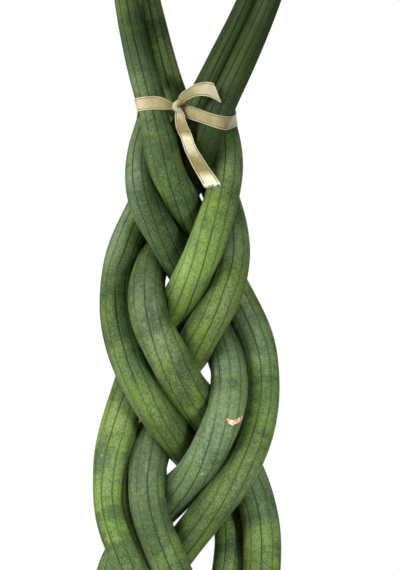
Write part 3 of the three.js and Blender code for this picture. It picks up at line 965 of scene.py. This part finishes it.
# Share of the way along a free end, and the tone there: painted shade by the knot and where
# the end turns away from the light, painted sheen where it faces it.
UPPER_END_SHEEN_AND_SHADE = [(0, -0.4), (0.07, 0.05), (0.33, 0.05), (0.55, 0.4), (0.75, 0.65), (0.93, 0.8), (1, 1)]
LOWER_END_SHEEN_AND_SHADE = [(0, -0.6), (0.035, 0.25), (0.12, 0.45), (0.36, 0.22), (0.46, 0.95), (0.6, 0.75),
               (0.72, 0.3), (0.84, 0.12), (0.92, 0.85), (1, 1)]


class Strip:
    """A strip of cloth between two edge lines."""

    def __init__(self, outer, inner):
        self.outer = Spline(0, 1, np.array(outer) * MM)
        self.inner = Spline(0, 1, np.array(inner) * MM)

    def place(self, along, across, lift=0.0):
        along, across, lift = np.broadcast_arrays(along, across, lift)
        start, end = self.outer(along), self.inner(along)
        ahead = self.outer(along + 0.01) + self.inner(along + 0.01) - start - end
        out = np.cross(end - start, ahead)
        out /= np.linalg.norm(out, axis=-1, keepdims=True)
        out *= -np.sign(out[..., 1:2])
        return start + (end - start) * across[..., None] + out * lift[..., None]


def lay_end(bm, cloth, strip, cup, begin, length, sheen_and_shade):
    made = bmesh.ops.create_grid(bm, x_segments=CLOTH_ROWS, y_segments=END_ROWS, size=0.5)
    across, along = flat_places(made)
    tied = np.exp(-((along / 0.2) ** 2))
    lift = cup * (1 - tied) * (1 - (2 * across - 1) ** 2) + selvedge(across)
    lift += pleats(across, (0.03 + 0.25 * tied) * MM)
    # Painted sheen and shade along the end.
    tone = np.interp(along, *np.array(sheen_and_shade).T)
    corners = strip.place(along, across, lift)
    set_corners(made, cloth, corners, across, begin + along * length, tone)


# %% [markdown]
# ### The knot
#
# The knot is a half hitch pulled tight. The ribbon bunches up lengthwise there, so what shows
# is a thick creased roll that comes over the top, turns down on the left and tucks under, and
# behind it the folds that it holds, round a small dark hollow, darkened further by painted shade
# on the band. Each is a grid rolled round a short route, with creases that run along it, and
# painted shade in the creases' hollows.

# %% The knot
KNOT_ROLLS = [
    # Route, radius in millimetres, number of creases, and tone, low as painted shade on the folds behind.
    ([(-3.8, -33.2, 511), (-6.1, -35.4, 511.4), (-8.2, -36.1, 510), (-8.7, -36.2, 508),
      (-7.8, -35.7, 506.5), (-5.8, -34.6, 505.8), (-4, -33.2, 505.6)], 1.3, 5, 0.7),
    ([(-8.2, -34, 510), (-6.4, -35.5, 509.9), (-4.6, -35.6, 510.4), (-2.7, -34.3, 510.7)], 0.85, 3, 0.05),
    ([(-8.2, -34.4, 507.8), (-6.6, -35.2, 508.1), (-5.2, -34.6, 507.4), (-4.2, -33.2, 506.8)], 0.8, 3, 0.2),
]
ROLL_COLUMNS, ROLL_ROWS = 60, 44
ROLL_LENGTH = 12 * MM


def roll_cloth(bm, cloth, points, radius, creases, tone):
    made = bmesh.ops.create_grid(bm, x_segments=ROLL_COLUMNS, y_segments=ROLL_ROWS, size=0.5)
    share, along = flat_places(made)
    route = Spline(0, 1, np.array(points) * MM)
    ahead = route(along + 0.02) - route(along - 0.02)
    side = np.cross(ahead, (0, -1, 0))
    side /= np.linalg.norm(side, axis=1)[:, None]
    front = np.cross(side, ahead)
    front /= np.linalg.norm(front, axis=1)[:, None]
    turn = share * 2 * math.pi
    crease = 0.13 * np.sin(creases * turn + 2.5 * along)
    crease += 0.07 * np.sin((creases + 3) * turn - 2 * along + 1)
    girth = radius * MM * (1 + crease) * (0.8 + 0.2 * np.sin(math.pi * along))
    reach = np.cos(turn)[:, None] * side + np.sin(turn)[:, None] * front
    corners = route(along) + girth[:, None] * reach
    # Painted shade in the hollows of the creases.
    tone = tone + 1.5 * np.minimum(crease, 0)
    set_corners(made, cloth, corners, share, along * ROLL_LENGTH, tone)
    close_seam(bm, made, share)


# %% [markdown]
# ### Satin
#
# Satin is woven with long floats, so it shines broadly and shows fine slanted ribs. How gold
# or how pale it looks changes with each bend as the light falls on it, and the tone paints that
# sheen and shade into its colour. Its edges are woven tighter and paler, with a thin dark line
# just inside them.

# %% Satin finish
# The ramp runs from painted shade through the satin's own gold to a pale painted sheen.
SATIN_SHADE_TO_SHEEN = [
    (0, (0.035, 0.029, 0.009)), (0.4, (0.185, 0.168, 0.038)), (0.5, (0.212, 0.168, 0.05)),
    (0.64, (0.32, 0.268, 0.115)), (1, (0.62, 0.575, 0.4)),
]
EDGE_LINE = (0.1, 0.068, 0.018)
PALE_EDGE = (0.62, 0.57, 0.4)
RIB_PITCH = 0.45


def satin_finish():
    satin = Finish("ribbon_satin")
    cloth = satin.add("Attribute", {"attribute_name": "cloth"}, output="Vector")
    parts = satin.add("SeparateXYZ", {}, {0: cloth})
    across, along, tone = parts, parts.other("Y"), parts.other("Z")
    edge = across.maths("MINIMUM", across, RIBBON_WIDTH - across) / MM
    slant = (along + 0.5 * across) / MM
    rib = slant.maths("SINE", slant * (2 * math.pi / RIB_PITCH))
    hatched = satin.grain(satin.add("CombineXYZ", {}, {0: slant, 1: across * (0.2 / MM)}), 1.1, 2)
    thread = satin.grain(satin.stretched(cloth, (0.12, 1, 0)), 4200, 2)
    cloud = satin.grain(satin.stretched(cloth, (0.5, 1, 0)), 130, 3)
    tone = tone + 0.45 * (cloud - 0.5) + 0.2 * (thread - 0.5) + 0.55 * (hatched - 0.5) + 0.03 * rib
    place = (tone + 0.66) / 1.66
    gold = satin.add("ValToRGB", {"stops": SATIN_SHADE_TO_SHEEN}, {0: place})
    pale_edge = 1 - satin.rise(edge + 0.2 * (thread - 0.5), 0.35, 0.62)
    inside = satin.rise(edge, 0.5, 0.75) * (1 - satin.rise(edge, 1.05, 1.5))
    lined = inside * (0.45 + 0.7 * satin.rise(cloud, 0.4, 0.62))
    gold = satin.stain(lined, gold, EDGE_LINE)
    gold = satin.stain(0.7 * pale_edge * satin.rise(tone, -0.7, 0), gold, PALE_EDGE)
    return satin.finish(
        Base_Color=gold,
        Roughness=0.4 + 0.14 * thread,
        Normal=satin.relief(0.6 * rib + thread, 0.00006, 0.6),
    )


satin_skin = satin_finish()

bm = bmesh.new()
cloth = bm.verts.layers.float_vector.new("cloth")
lay_band(bm, cloth)
upper_end, lower_end = Strip(**UPPER_END), Strip(**LOWER_END)
lay_end(bm, cloth, upper_end, cup=0.5 * MM, begin=0.24, length=0.037, sheen_and_shade=UPPER_END_SHEEN_AND_SHADE)
lay_end(bm, cloth, lower_end, cup=-0.5 * MM, begin=0.29, length=0.06, sheen_and_shade=LOWER_END_SHEEN_AND_SHADE)
for roll in KNOT_ROLLS:
    roll_cloth(bm, cloth, *roll)
bmesh.ops.recalc_face_normals(bm, faces=bm.faces)
ribbon = put("ribbon_tied", bm, satin_skin)
thicken = ribbon.modifiers.new("cloth", "SOLIDIFY")
thicken.thickness = RIBBON_CLOTH
thicken.offset = 0
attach(ribbon, "root")
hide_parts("ribbon")

# %% [markdown]
# ### Frayed threads
#
# The cut ends fray: short loose threads stand out of them, each a thin cone, in small tufts
# that lean together.

# %% Fringe
THREAD_ROOT, THREAD_TIP = 0.24 * MM, 0.08 * MM
FRAY_AT, JUST_BEFORE = 0.99, 0.93


def fray(bm, strip, count, reach, seed):
    draw = random.Random(seed)
    lean = 0
    for k in range(count):
        if k % 4 == 0:
            lean = draw.uniform(-0.4, 0.4)
        across = (k + draw.uniform(0.2, 0.8)) / count
        root = Vector(strip.place(FRAY_AT, across))
        ahead = (root - Vector(strip.place(JUST_BEFORE, across))).normalized()
        side = Vector(strip.place(FRAY_AT, 1.0) - strip.place(FRAY_AT, 0.0)).normalized()
        ahead += side * (lean + draw.uniform(-0.15, 0.15)) + ACROSS.cross(UP) * draw.uniform(-0.1, 0.25)
        ahead.normalize()
        length = reach * draw.uniform(0.4, 1)
        turn = ahead.to_track_quat("Z", "Y").to_matrix().to_4x4()
        turn.translation = root + ahead * length * 0.4
        bmesh.ops.create_cone(
            bm, cap_ends=True, segments=5, radius1=THREAD_ROOT, radius2=THREAD_TIP,
            depth=length, matrix=turn,
        )


threads = Finish("ribbon_threads")
wisp = threads.grain(threads.add("TexCoord", output="Object"), 2500, 2)
thread_skin = threads.finish(
    Base_Color=threads.stain(wisp, (0.72, 0.67, 0.5), (0.88, 0.86, 0.74)),
    Roughness=0.6 + 0.2 * wisp,
    Normal=threads.relief(wisp, 0.00005, 0.4),
)
bm = bmesh.new()
fray(bm, lower_end, count=64, reach=4 * MM, seed=5)
fray(bm, upper_end, count=30, reach=1.2 * MM, seed=8)
bmesh.ops.recalc_face_normals(bm, faces=bm.faces)
fringe = put("ribbon_fringe", bm, thread_skin)
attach(fringe, "root")

# %% [markdown]
# ## The pot
#
# A plain clay pot is thrown or pressed on a wheel: one profile turned round the middle. So a
# few points give the wall's section, a spin makes the solid, and a bevel rounds its edges.

# %% Pot shape
_, pot_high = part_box("pot")
POT_HEIGHT, RIM_RADIUS = pot_high.z, pot_high.x
FOOT_RADIUS = 66 * MM
POT_WALL = 7 * MM
POT_FLOOR = 9 * MM
COLLAR_HEIGHT = 34 * MM
COLLAR_STEP = 5 * MM
DRAIN_RADIUS = 9 * MM
COLLAR_LEAN = 1.5 * MM
INSIDE_EASE = 2 * MM
LIP_ROUND = 2.2 * MM
SHARP_TURN = 0.5
SOIL_TOP = 137 * MM

collar_bottom = POT_HEIGHT - COLLAR_HEIGHT
wall_top = RIM_RADIUS - COLLAR_STEP - INSIDE_EASE
inside_top = wall_top - POT_WALL
section = [
    (DRAIN_RADIUS, 0), (FOOT_RADIUS, 0), (wall_top, collar_bottom),
    (RIM_RADIUS - COLLAR_LEAN, collar_bottom), (RIM_RADIUS, POT_HEIGHT),
    (inside_top, POT_HEIGHT), (inside_top, collar_bottom),
    (FOOT_RADIUS - POT_WALL + INSIDE_EASE, POT_FLOOR), (DRAIN_RADIUS, POT_FLOOR),
]


def spin_round(section, steps, closed):
    """A solid turned from its section, a list of radius and height."""
    bm = bmesh.new()
    corners = [bm.verts.new((r, 0, z)) for r, z in section]
    ahead = corners[1:] + corners[:1] if closed else corners[1:]
    edges = [bm.edges.new(pair) for pair in zip(corners, ahead)]
    bmesh.ops.spin(
        bm, geom=corners + edges, axis=UP, cent=(0, 0, 0), angle=2 * math.pi, steps=steps,
        use_merge=True,
    )
    bmesh.ops.remove_doubles(bm, verts=bm.verts, dist=WELD)
    bmesh.ops.recalc_face_normals(bm, faces=bm.faces)
    return bm


bm = spin_round(section, steps=144, closed=True)
sharp = [edge for edge in bm.edges if edge.calc_face_angle(0) > SHARP_TURN]
bmesh.ops.bevel(
    bm, geom=sharp, offset=LIP_ROUND, affect="EDGES", segments=4, profile=0.5, material=-1,
)

# %% [markdown]
# ### Fired clay
#
# Unglazed clay is never one flat orange. It has fine sand in it, faint rings from the turning,
# paler salt bloom where water dries out, and a darker damp foot.

# %% Fired clay
CLAY = {
    "red": (0.46, 0.185, 0.085),
    "orange": (0.56, 0.26, 0.13),
    "sand": (0.3, 0.11, 0.05),
    "salt": (0.72, 0.55, 0.42),
    "damp": (0.25, 0.1, 0.05),
    "speck": (0.2, 0.08, 0.04),
}
DAMP_FOOT = (8 * MM, 30 * MM)

clay = Finish("fired_clay")
here = clay.add("TexCoord", output="Object")
height = clay.add("SeparateXYZ", {}, {0: here}, output="Z")
cloud = clay.grain(here, 22, 4, 0.6, 0.4)
sand = clay.grain(here, 900, 2, 0.6)
speck = clay.add("TexVoronoi", {}, {"Vector": here, "Scale": 420}, output="Distance")
rings = clay.grain(clay.stretched(here, (3, 3, 420)), 1, 2)
fired = clay.stain(clay.rise(cloud, 0.35, 0.65), CLAY["red"], CLAY["orange"])
fired = clay.stain(0.3 * sand, fired, CLAY["sand"])
salt = clay.rise(cloud + 0.12 * (sand - 0.5), 0.56, 0.7)
fired = clay.stain(0.45 * salt, fired, CLAY["salt"])
damp = 1 - clay.rise(height + 0.012 * (cloud - 0.5), *DAMP_FOOT)
fired = clay.stain(0.35 * damp, fired, CLAY["damp"])
fired = clay.stain(0.6 * (1 - clay.rise(speck, 0.1, 0.2)), fired, CLAY["speck"])
coarse = clay.relief(rings, 0.0006, 0.35)
clay_skin = clay.finish(
    Base_Color=fired,
    Roughness=0.78 + 0.15 * cloud,
    Normal=clay.relief(sand, 0.00025, 0.6, coarse),
)
pot = put("pot_turned", bm, clay_skin)
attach(pot, "root")
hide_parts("pot")

# %% [markdown]
# ## The soil
#
# The mix is bark, peat and a little white perlite. Its body is one turned shape that fills the
# pot, with a lumpy top, and loose bits lie on it: flakes of bark, crumbs, and perlite. The
# bits are low shapes of 20 faces, because there are many.

# %% Soil body
SOIL_GAP = 0.3 * MM
SOIL_RINGS = 70
SOIL_LUMP = 1.7 * MM
SOIL_GRIT = 0.9 * MM
LEVEL_EDGE = 10 * MM
soil_edge = inside_top - SOIL_GAP


def soil_lump(x, y):
    x, y = x / MM, y / MM
    broad = math.sin(x * 0.071 + 1.3) * math.cos(y * 0.083 - 0.4)
    middle = math.sin(x * 0.19 - y * 0.13 + 2.1) * math.cos(y * 0.21 + x * 0.05)
    fine = math.sin(x * 0.43 + 0.7) * math.sin(y * 0.39 - 1.9)
    return SOIL_LUMP * (0.9 * broad + 0.6 * middle + 0.35 * fine)


def soil_height(x, y):
    edge = smooth_step(soil_edge - math.hypot(x, y), 0, LEVEL_EDGE)
    grit = noise.fractal(Vector((x, y, 0)) * 260, 0.6, 2, 4) * SOIL_GRIT
    return SOIL_TOP + (soil_lump(x, y) + grit) * (0.4 + 0.6 * float(edge))


soil_section = [(0, POT_FLOOR + SOIL_GAP), (FOOT_RADIUS - POT_WALL - INSIDE_EASE, POT_FLOOR + SOIL_GAP)]
soil_section += [(inside_top - 0.6 * MM, collar_bottom), (soil_edge, SOIL_TOP)]
soil_section += [(soil_edge * k / SOIL_RINGS, SOIL_TOP) for k in range(SOIL_RINGS - 1, -1, -1)]
bm = spin_round(soil_section, steps=220, closed=False)
for vert in bm.verts:
    if vert.co.z > SOIL_TOP - WELD:
        vert.co.z = soil_height(vert.co.x, vert.co.y)

earth = Finish("potting_mix")
here = earth.add("TexCoord", output="Object")
crumb = earth.add("TexVoronoi", {}, {"Vector": here, "Scale": 300}, output="Distance")
peat = earth.grain(here, 600, 4, 0.65)
dark = earth.stain(earth.rise(peat, 0.35, 0.65), (0.018, 0.011, 0.007), (0.07, 0.042, 0.026))
earth_skin = earth.finish(
    Base_Color=dark,
    Roughness=0.85 + 0.1 * peat,
    Normal=earth.relief(peat - 0.6 * crumb, 0.0012, 0.9),
)
soil = put("soil_bed", bm, earth_skin)
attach(soil, "root")
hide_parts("soil")

# %% Loose bits on the soil
def in_a_leaf(x, y, spare):
    for route in routes.values():
        middle = route.middle(SOIL_TOP)
        if math.hypot(x - middle[0], y - middle[1]) < float(route.radius(SOIL_TOP)) + spare:
            return True
    return False


def scatter(count, sizes, flatness, sunk, seed):
    """Rough little lumps of 20 faces, strewn over the soil."""
    draw = random.Random(seed)
    bm = bmesh.new()
    for _ in range(count):
        size = draw.triangular(*sizes)
        away = (soil_edge - size) * math.sqrt(draw.random())
        turn = draw.uniform(0, 2 * math.pi)
        x, y = away * math.cos(turn), away * math.sin(turn)
        if in_a_leaf(x, y, size * 0.8):
            continue
        made = bmesh.ops.create_icosphere(bm, subdivisions=1, radius=1)["verts"]
        stretch = (size * draw.uniform(0.8, 1.6), size * draw.uniform(0.6, 1), size * flatness)
        for vert in made:
            vert.co *= draw.uniform(0.75, 1.2)
        bmesh.ops.scale(bm, vec=stretch, verts=made)
        tilt = Vector((draw.gauss(0, 0.35), draw.gauss(0, 0.35), 1)).to_track_quat("Z", "Y")
        spin = Vector((math.cos(turn * 7), math.sin(turn * 7), 0)).to_track_quat("X", "Z")
        bmesh.ops.rotate(bm, cent=(0, 0, 0), matrix=(tilt @ spin).to_matrix(), verts=made)
        bmesh.ops.translate(bm, vec=(x, y, soil_height(x, y) + size * flatness * sunk), verts=made)
    bmesh.ops.recalc_face_normals(bm, faces=bm.faces)
    return bm


def bits_finish(name, low, high, scale):
    bits = Finish(name)
    here = bits.add("TexCoord", output="Object")
    tone = bits.grain(here, scale, 3, 0.6)
    return bits.finish(
        Base_Color=bits.stain(bits.rise(tone, 0.38, 0.62), low, high),
        Roughness=0.8 + 0.15 * tone,
        Normal=bits.relief(tone, 0.0005, 0.6),
    )


# Count, sizes, flatness, how far sunk, seed, dark and light colours, and noise scale.
BITS = {
    "soil_bark": (
        520, (1.2 * MM, 5 * MM, 2.2 * MM), 0.35, 0.4, 11,
        (0.06, 0.03, 0.015), (0.2, 0.11, 0.06), 180,
    ),
    "soil_crumbs": (
        1500, (0.5 * MM, 1.9 * MM, 0.9 * MM), 0.8, 0.3, 12,
        (0.02, 0.012, 0.008), (0.075, 0.045, 0.028), 300,
    ),
    "soil_perlite": (
        70, (0.7 * MM, 1.9 * MM, 1.1 * MM), 0.85, 0.3, 13,
        (0.6, 0.58, 0.52), (0.85, 0.84, 0.8), 400,
    ),
}
for name, (count, sizes, flatness, sunk, seed, low, high, scale) in BITS.items():
    bits = put(name, scatter(count, sizes, flatness, sunk, seed), bits_finish(name, low, high, scale))
    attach(bits, "root")
